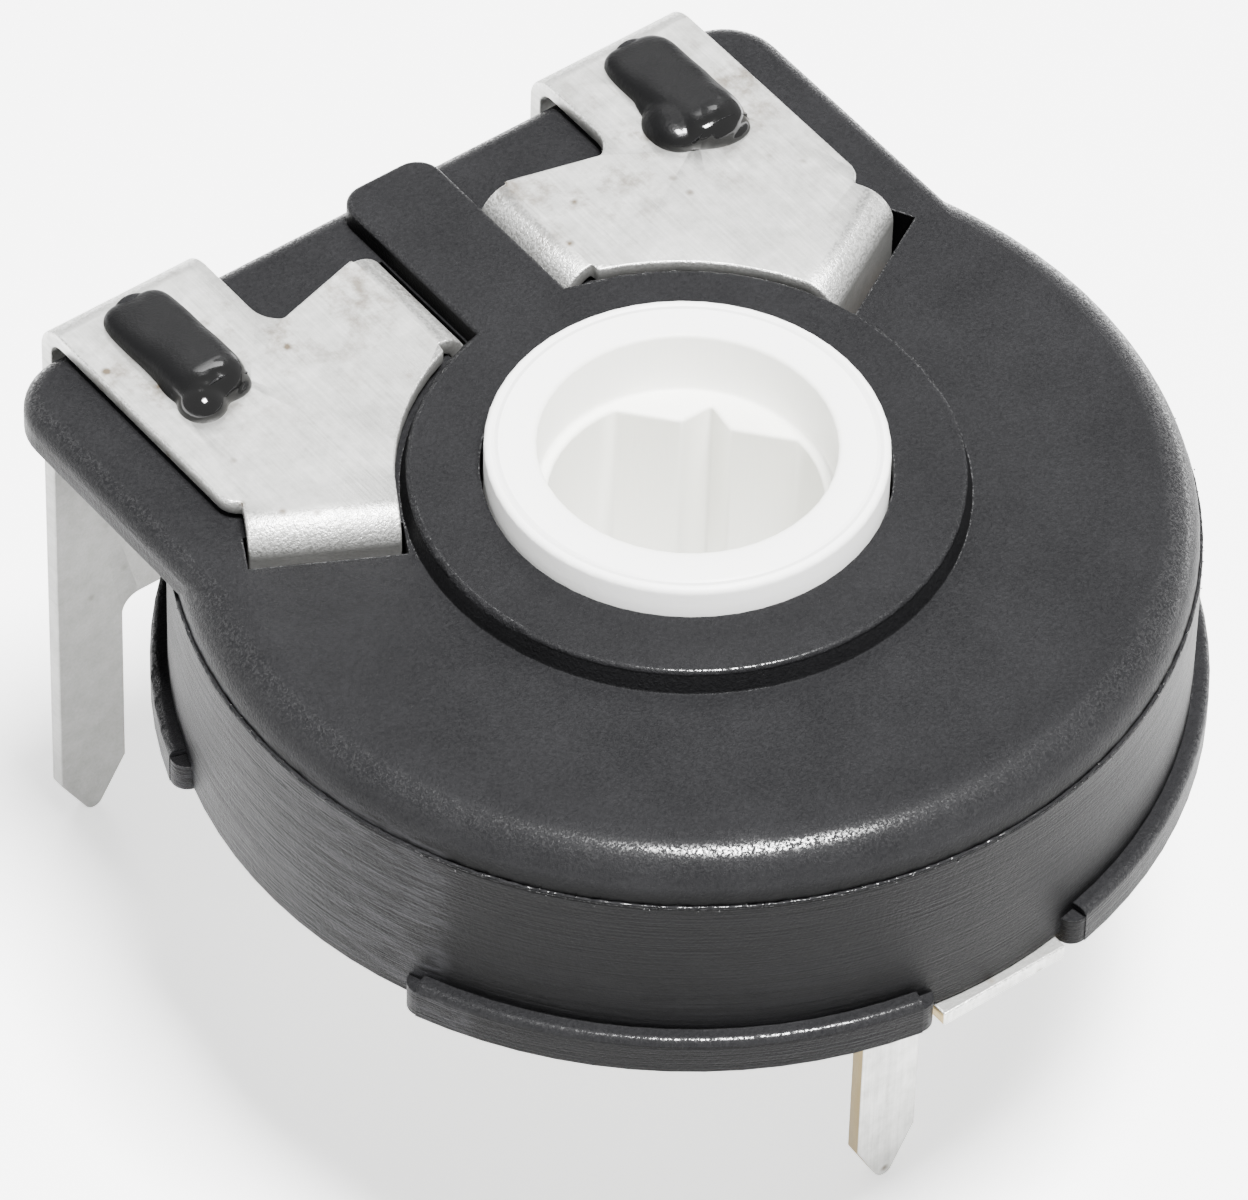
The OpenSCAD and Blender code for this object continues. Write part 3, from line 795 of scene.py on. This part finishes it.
@dataclass
class PartingFlash:
    """Thin ragged flash that the mould's parting line leaves round the wall, with angles in degrees."""

    radius: float = 7.215 * MM
    height: float = PARTING_Z
    start: float = -204.0
    sweep: float = 228.0
    points: int = 900
    bead: float = 0.026 * MM
    bead_sides: int = 8
    swell_scale: float = 9000.0
    swell_detail: float = 2.0
    swell: float = 1.5
    thinnest: float = 0.25
    ragged: float = 0.060 * MM
    ragged_scale: float = 5200.0
    ragged_detail: float = 3.0
    lift_share: float = 0.5
    crumbs: int = 220
    crumb: float = 0.018 * MM
    crumb_fineness: int = 2
    smallest: Triple = (0.3, 0.3, 0.3)
    largest: Triple = (1.2, 1.2, 1.0)
    reach: float = 0.05 * MM
    seed: int = 7
    size_seed_step: float = 5.0

    def _inputs(self, finish: bpy.types.Material) -> Inputs:
        """Named inputs of the trees.

        Args:
            finish: Material of the flash.

        Returns:
            Socket type and value by name.
        """
        return {
            "Radius": ("NodeSocketFloat", self.radius),
            "Height": ("NodeSocketFloat", self.height),
            "Start": ("NodeSocketFloat", math.radians(self.start)),
            "Sweep": ("NodeSocketFloat", math.radians(self.sweep)),
            "Points": ("NodeSocketInt", self.points),
            "Bead": ("NodeSocketFloat", self.bead),
            "Ragged": ("NodeSocketFloat", self.ragged),
            "Crumbs": ("NodeSocketInt", self.crumbs),
            "Crumb": ("NodeSocketFloat", self.crumb),
            "Seed": ("NodeSocketInt", self.seed),
            "Finish": ("NodeSocketMaterial", finish),
        }

    def _path(self, tree: PathTree, points: Wire) -> Wire:
        """Arc round the wall, moved in and out a little at random.

        Args:
            tree: The tree to add to.
            points: Number of points on the arc.

        Returns:
            The arc.
        """
        values = {
            "Resolution": points,
            "Radius": tree.given("Radius"),
            "Start Angle": tree.given("Start"),
            "Sweep Angle": tree.given("Sweep"),
        }
        arc = tree.add("GeometryNodeCurveArc", {"mode": "RADIUS"}, values)
        place = tree.add("GeometryNodeInputPosition")
        outward = tree.add("ShaderNodeVectorMath", {"operation": "NORMALIZE"}, {0: place})
        values = {
            "Vector": place,
            "W": tree.given("Seed"),
            "Scale": self.ragged_scale,
            "Detail": self.ragged_detail,
        }
        rough = tree.add("ShaderNodeTexNoise", {"noise_dimensions": "4D"}, values)
        shift = (rough - NOISE_MIDDLE) * tree.given("Ragged")
        moved = tree.add("ShaderNodeVectorMath", {"operation": "SCALE"}, {0: outward, "Scale": shift})
        height = tree.given("Height") + shift * self.lift_share
        lift = tree.add("ShaderNodeCombineXYZ", None, {"Z": height})
        offset = tree.add("ShaderNodeVectorMath", {"operation": "ADD"}, {0: moved, 1: lift})
        return tree.add("GeometryNodeSetPosition", None, {"Geometry": arc, "Offset": offset})

    def bead_piece(self, finish: bpy.types.Material) -> bpy.types.Object:
        """Continuous bead of flash.

        Args:
            finish: Its material.

        Returns:
            The piece.
        """
        tree = PathTree("flash_bead", self._inputs(finish))
        path = self._path(tree, tree.given("Points"))
        place = tree.add("GeometryNodeInputPosition")
        values = {"Vector": place, "Scale": self.swell_scale, "Detail": self.swell_detail}
        swell = tree.add("ShaderNodeTexNoise", None, values)
        thick = tree.given("Bead") * (swell * self.swell + self.thinnest)
        circle = {"Resolution": self.bead_sides, "Radius": 1.0}
        ring = tree.add("GeometryNodeCurvePrimitiveCircle", None, circle)
        values = {"Curve": path, "Profile Curve": ring, "Scale": thick, "Fill Caps": True}
        tree.close(tree.add("GeometryNodeCurveToMesh", None, values))
        return tree.bake("flash_bead")

    def crumb_piece(self, finish: bpy.types.Material) -> bpy.types.Object:
        """Loose crumbs of plastic that stick to the flash.

        Args:
            finish: Their material.

        Returns:
            The piece.
        """
        tree = PathTree("flash_crumbs", self._inputs(finish))
        path = self._path(tree, tree.given("Points"))
        values = {"Curve": path, "Count": tree.given("Crumbs")}
        spots = tree.add("GeometryNodeCurveToPoints", {"mode": "COUNT"}, values)
        scatter = {
            "Min": (-self.reach, -self.reach, -self.reach),
            "Max": (self.reach, self.reach, self.reach),
            "Seed": tree.given("Seed"),
        }
        jump = tree.add("FunctionNodeRandomValue", {"data_type": "FLOAT_VECTOR"}, scatter)
        spots = tree.add("GeometryNodeSetPosition", None, {"Geometry": spots, "Offset": jump})
        ball = {"Radius": 1.0, "Subdivisions": self.crumb_fineness}
        grain = tree.add("GeometryNodeMeshIcoSphere", None, ball)
        sizes = {
            "Min": self.smallest,
            "Max": self.largest,
            "Seed": tree.given("Seed") + self.size_seed_step,
        }
        spread = tree.add("FunctionNodeRandomValue", {"data_type": "FLOAT_VECTOR"}, sizes)
        values = {0: spread, "Scale": tree.given("Crumb")}
        scale = tree.add("ShaderNodeVectorMath", {"operation": "SCALE"}, values)
        values = {"Points": spots, "Instance": grain, "Scale": scale}
        tree.close(tree.add("GeometryNodeInstanceOnPoints", None, values))
        return tree.bake("flash_crumbs")


@dataclass
class StakeCap:
    """Crown of a stake, melted over its terminal."""

    side: Side
    lips: tuple = ()
    centre_x: float = 4.42 * MM
    front_y: float = 4.80 * MM
    rear_y: float = 7.25 * MM
    half_w: float = 0.565 * MM
    plate_top: float = 6.25 * MM
    front_rise: float = 0.43 * MM
    rear_rise: float = 0.17 * MM
    root: float = 0.16 * MM
    sections: int = 40
    corners: int = 40
    end_power: float = 7.0
    end_curve: float = 0.4
    end_girth: float = 0.02
    corner_power: float = 0.42
    corner_gain: float = 0.2
    crown_power: float = 0.25
    lip_fineness: int = 4
    voxel: float = 0.028 * MM
    flow: float = 0.5
    flow_steps: int = 24
    wave: float = 0.55 * MM
    wave_depth: float = 0.022 * MM

    def _loaf(self, mesh: bmesh.types.BMesh) -> None:
        """Add the crown as a closed loaf.

        Args:
            mesh: The mesh to add to.
        """
        rings = []
        middle = self.side.value * self.centre_x
        for index in range(self.sections + 1):
            share = index / self.sections
            end = 1.0 - abs(2.0 * share - 1.0) ** self.end_power
            girth = max(end, 0.0) ** self.end_curve + self.end_girth
            power = self.corner_power + self.corner_gain * (1.0 - share)
            rise = self.front_rise + (self.rear_rise - self.front_rise) * share
            y = self.front_y + (self.rear_y - self.front_y) * share
            ring = []
            for corner in range(self.corners):
                angle = 2.0 * math.pi * corner / self.corners
                across, up = math.cos(angle), math.sin(angle)
                x = self.half_w * girth * math.copysign(abs(across) ** power, across)
                tall = rise if up > 0.0 else self.root
                z = tall * girth * math.copysign(abs(up) ** (power + self.crown_power), up)
                ring.append(mesh.verts.new((middle + x, y, self.plate_top + z)))
            rings.append(ring)
        for first, second in zip(rings, rings[1:]):
            for corner in range(self.corners):
                after = (corner + 1) % self.corners
                mesh.faces.new((first[corner], first[after], second[after], second[corner]))
        mesh.faces.new(list(reversed(rings[0])))
        mesh.faces.new(rings[-1])

    def _lip(self, mesh: bmesh.types.BMesh, lip: tuple[float, ...]) -> None:
        """Add one lump of melted plastic.

        Args:
            mesh: The mesh to add to.
            lip: Its place sideways and back from the stake's front, and its three radii, in millimetres.
        """
        across, back, wide, long, tall = (value * MM for value in lip)
        middle = Vector((self.side.value * self.centre_x + across, self.front_y + back, self.plate_top))
        place = Matrix.Translation(middle) @ Matrix.Diagonal((wide, long, tall, 1.0))
        bmesh.ops.create_icosphere(mesh, subdivisions=self.lip_fineness, radius=1.0, matrix=place)

    def build(self, finish: bpy.types.Material) -> bpy.types.Object:
        """Make the melted crown.

        Args:
            finish: Its material.

        Returns:
            The piece.
        """
        name = f"stake_cap_{self.side.name.lower()}"
        mesh = bmesh.new()
        self._loaf(mesh)
        for lip in self.lips:
            self._lip(mesh, lip)
        bmesh.ops.recalc_face_normals(mesh, faces=mesh.faces)
        data = bpy.data.meshes.new(name)
        mesh.to_mesh(data)
        mesh.free()
        made = bpy.data.objects.new(name, data)
        bpy.context.scene.collection.objects.link(made)
        remesh = made.modifiers.new("melt", "REMESH")
        remesh.mode = "VOXEL"
        remesh.voxel_size = self.voxel
        smooth = made.modifiers.new("flow", "SMOOTH")
        smooth.factor = self.flow
        smooth.iterations = self.flow_steps
        plain_mesh(made)
        self._ripple(made.data)
        made.data.materials.clear()
        made.data.materials.append(finish)
        return made

    def _ripple(self, data: bpy.types.Mesh) -> None:
        """Move the surface in and out a little, as cooled plastic does.

        Args:
            data: The mesh to change.
        """
        moves = []
        for vertex in data.vertices:
            moves.append(vertex.normal * (noise.noise(vertex.co / self.wave) * self.wave_depth))
        for vertex, move in zip(data.vertices, moves):
            vertex.co += move


@dataclass(frozen=True)
class Rounding:
    """Real rounding of a solid's sharp edges, on a copy that stands for it, with angles in degrees."""

    width: float
    weld: float = 0.0005 * MM
    flat_angle: float = 0.4
    sharp_angle: float = 38.0
    segments: int = 2

    def _merged(self, source: bpy.types.Object, name: str) -> bpy.types.Object:
        """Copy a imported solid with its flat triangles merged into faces.

        Args:
            source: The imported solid.
            name: Name of the copy.

        Returns:
            The copy.
        """
        mesh = bmesh.new()
        mesh.from_mesh(source.data)
        bmesh.ops.remove_doubles(mesh, verts=mesh.verts, dist=self.weld)
        edges = [edge for edge in mesh.edges if edge.is_manifold]
        flat = math.radians(self.flat_angle)
        bmesh.ops.dissolve_limit(mesh, angle_limit=flat, verts=mesh.verts, edges=edges)
        for face in mesh.faces:
            face.smooth = True
        data = bpy.data.meshes.new(name)
        mesh.to_mesh(data)
        mesh.free()
        made = bpy.data.objects.new(name, data)
        bpy.context.scene.collection.objects.link(made)
        return made

    def stand_in(self, nodes: Nodes, node: str, body: str, slot: str) -> bpy.types.Object:
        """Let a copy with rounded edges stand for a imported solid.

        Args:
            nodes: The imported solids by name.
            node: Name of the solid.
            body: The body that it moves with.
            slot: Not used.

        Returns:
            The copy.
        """
        made = self._merged(nodes[node], node + "_rounded")
        bevel = made.modifiers.new("rounding", "BEVEL")
        bevel.width = self.width
        bevel.segments = self.segments
        bevel.limit_method = "ANGLE"
        bevel.angle_limit = math.radians(self.sharp_angle)
        bevel.use_clamp_overlap = False
        bevel.miter_outer = "MITER_ARC"
        weld = made.modifiers.new("weld", "WELD")
        weld.merge_threshold = self.weld
        made.modifiers.new("triangles", "TRIANGULATE")
        made.modifiers.new("shading", "WEIGHTED_NORMAL")
        plain_mesh(made)
        seat(made, body)
        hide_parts(node)
        return made


def coat(made: bpy.types.Object, finish: bpy.types.Material) -> None:
    """Give every material slot of an object one finish.

    Args:
        made: The object.
        finish: The material.
    """
    if not made.material_slots:
        made.data.materials.append(finish)
    for slot in made.material_slots:
        slot.material = finish
    log.info("node %s takes %s", made.name, finish.name)


@dataclass
class Housing:
    """Black moulding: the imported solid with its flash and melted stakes."""

    plastic: MouldedBlack = field(default_factory=MouldedBlack)
    melted: MeltedBlack = field(default_factory=MeltedBlack)
    flash: PartingFlash = field(default_factory=PartingFlash)
    left_lips: tuple = (
        (-0.30, 0.14, 0.37, 0.36, 0.33),
        (0.08, 0.34, 0.47, 0.40, 0.40),
        (-0.42, 0.60, 0.20, 0.40, 0.11),
        (0.20, 0.17, 0.34, 0.25, 0.18),
    )
    right_lips: tuple = (
        (-0.50, 0.66, 0.38, 0.50, 0.335),
        (0.02, 0.36, 0.48, 0.42, 0.42),
        (-0.50, 1.08, 0.16, 0.40, 0.10),
        (0.12, 0.16, 0.40, 0.25, 0.16),
    )

    def build(self, nodes: Nodes) -> None:
        """Dress the moulding and add its small pieces.

        Args:
            nodes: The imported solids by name.
        """
        black = self.plastic.build()
        glossy = self.melted.build()
        coat(nodes["housing"], black)
        seat(self.flash.bead_piece(black), BODY)
        seat(self.flash.crumb_piece(glossy), BODY)
        for side, lips in ((Side.LEFT, self.left_lips), (Side.RIGHT, self.right_lips)):
            seat(StakeCap(side, lips).build(glossy), BODY)


@dataclass
class Rotor:
    """White rotor and the wiper that turns with it."""

    plastic: RotorWhite = field(default_factory=RotorWhite)
    spring: SpringBronze = field(default_factory=SpringBronze)
    moulded_edge: Rounding = Rounding(0.035 * MM)
    sheet_edge: Rounding = Rounding(0.015 * MM)

    def build(self, nodes: Nodes) -> None:
        """Dress the rotor and the wiper.

        Args:
            nodes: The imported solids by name.
        """
        rotor = self.moulded_edge.stand_in(nodes, "rotor", ROTOR_SET, "rotor")
        coat(rotor, self.plastic.build())
        wiper = self.sheet_edge.stand_in(nodes, "wiper", ROTOR_SET, "spring_bronze")
        coat(wiper, self.spring.build())


@dataclass
class Terminals:
    """Tinned end terminals, the wiper's terminal and the element between them."""

    # The end terminals' legs take painted shade
    end_sheet: TinnedSheet = TinnedSheet(leg_painted_shade=0.7)
    front_sheet: TinnedSheet = TinnedSheet(
        "tinned_plate", brassy_sides=True, rolled=rolled_marks(Streak.ALONG_Z)
    )
    element: ElementBoard = field(default_factory=ElementBoard)
    sheet_edge: Rounding = Rounding(0.03 * MM)

    def build(self, nodes: Nodes) -> None:
        """Dress the terminals and the element.

        Args:
            nodes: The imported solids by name.
        """
        tin = self.end_sheet.build()
        for node in ("terminal_left", "terminal_right"):
            coat(self.sheet_edge.stand_in(nodes, node, BODY, "tinned_brass"), tin)
        plate = self.sheet_edge.stand_in(nodes, "contact_plate", BODY, "tinned_brass")
        coat(plate, self.front_sheet.build())
        coat(nodes["resistive_element"], self.element.build())


@dataclass(frozen=True)
class Softbox:
    """One square area light, with its place and size in millimetres."""

    name: str
    place: Triple
    size: float
    watts: float

    def build(self, target: Vector) -> None:
        """Add the light.

        Args:
            target: The point that it faces, in metres.
        """
        data = bpy.data.lights.new(self.name, "AREA")
        data.size = self.size * MM
        data.energy = self.watts
        made = bpy.data.objects.new(self.name, data)
        made.location = Vector(self.place) * MM
        made.rotation_euler = (target - made.location).to_track_quat("-Z", "Y").to_euler()
        bpy.context.scene.collection.objects.link(made)


@dataclass
class Studio:
    """Pale floor, soft light and the camera at the photograph's angle, in millimetres."""

    eye: Triple = (-64.170, -79.091, 110.942)
    right: Triple = (0.79515, -0.60605, 0.02119)
    down: Triple = (-0.42840, -0.58611, -0.68771)
    lens: float = 303.225
    film_width: float = 36.0
    nearest: float = 10.0
    farthest: float = 10000.0
    floor_size: float = 900.0
    world_light: float = 0.85
    paper: StudioPaper = field(default_factory=StudioPaper)
    aim: Triple = (0.0, 0.0, 4.0)
    boxes: tuple[Softbox, ...] = (
        Softbox("top_softbox", (0.0, -70.0, 300.0), 90.0, 5.6),
        Softbox("rear_softbox", (150.0, 230.0, 240.0), 120.0, 0.5),
    )

    def build(self, floor_z: float) -> None:
        """Make the floor, the lights and the camera.

        Args:
            floor_z: Height of the floor in metres.
        """
        self._camera()
        self._floor(floor_z)
        world = bpy.data.worlds.new("studio")
        world.use_nodes = True
        background = world.node_tree.nodes["Background"]
        background.inputs["Color"].default_value = WHITE
        background.inputs["Strength"].default_value = self.world_light
        bpy.context.scene.world = world
        for box in self.boxes:
            box.build(Vector(self.aim) * MM)

    def _camera(self) -> None:
        """Camera at the photograph's place."""
        data = bpy.data.cameras.new("camera")
        data.lens = self.lens
        data.sensor_width = self.film_width
        data.sensor_fit = "HORIZONTAL"
        data.clip_start = self.nearest * MM
        data.clip_end = self.farthest * MM
        right = Vector(self.right).normalized()
        up = -Vector(self.down)
        up = (up - right * up.dot(right)).normalized()
        back = right.cross(up)
        turn = Matrix((right, up, back)).transposed().to_4x4()
        camera = bpy.data.objects.new("camera", data)
        camera.matrix_world = Matrix.Translation(Vector(self.eye) * MM) @ turn
        bpy.context.scene.collection.objects.link(camera)
        bpy.context.scene.camera = camera

    def _floor(self, height: float) -> None:
        """Square sheet of paper.

        Args:
            height: Its height in metres.
        """
        half = self.floor_size * MM / 2.0
        mesh = bmesh.new()
        corners = ((-half, -half), (half, -half), (half, half), (-half, half))
        mesh.faces.new([mesh.verts.new((x, y, height)) for x, y in corners])
        data = bpy.data.meshes.new("floor")
        mesh.to_mesh(data)
        mesh.free()
        data.materials.append(self.paper.build())
        floor = bpy.data.objects.new("floor", data)
        bpy.context.scene.collection.objects.link(floor)
        floor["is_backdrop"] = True


def main() -> None:
    """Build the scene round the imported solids."""
    logging.basicConfig(level=logging.INFO, format="%(message)s")
    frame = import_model()
    cad_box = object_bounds()
    nodes = frame["nodes"]
    Studio().build(cad_box[0].z)
    Housing().build(nodes)
    Rotor().build(nodes)
    Terminals().build(nodes)


if __name__ == "__main__":
    main()
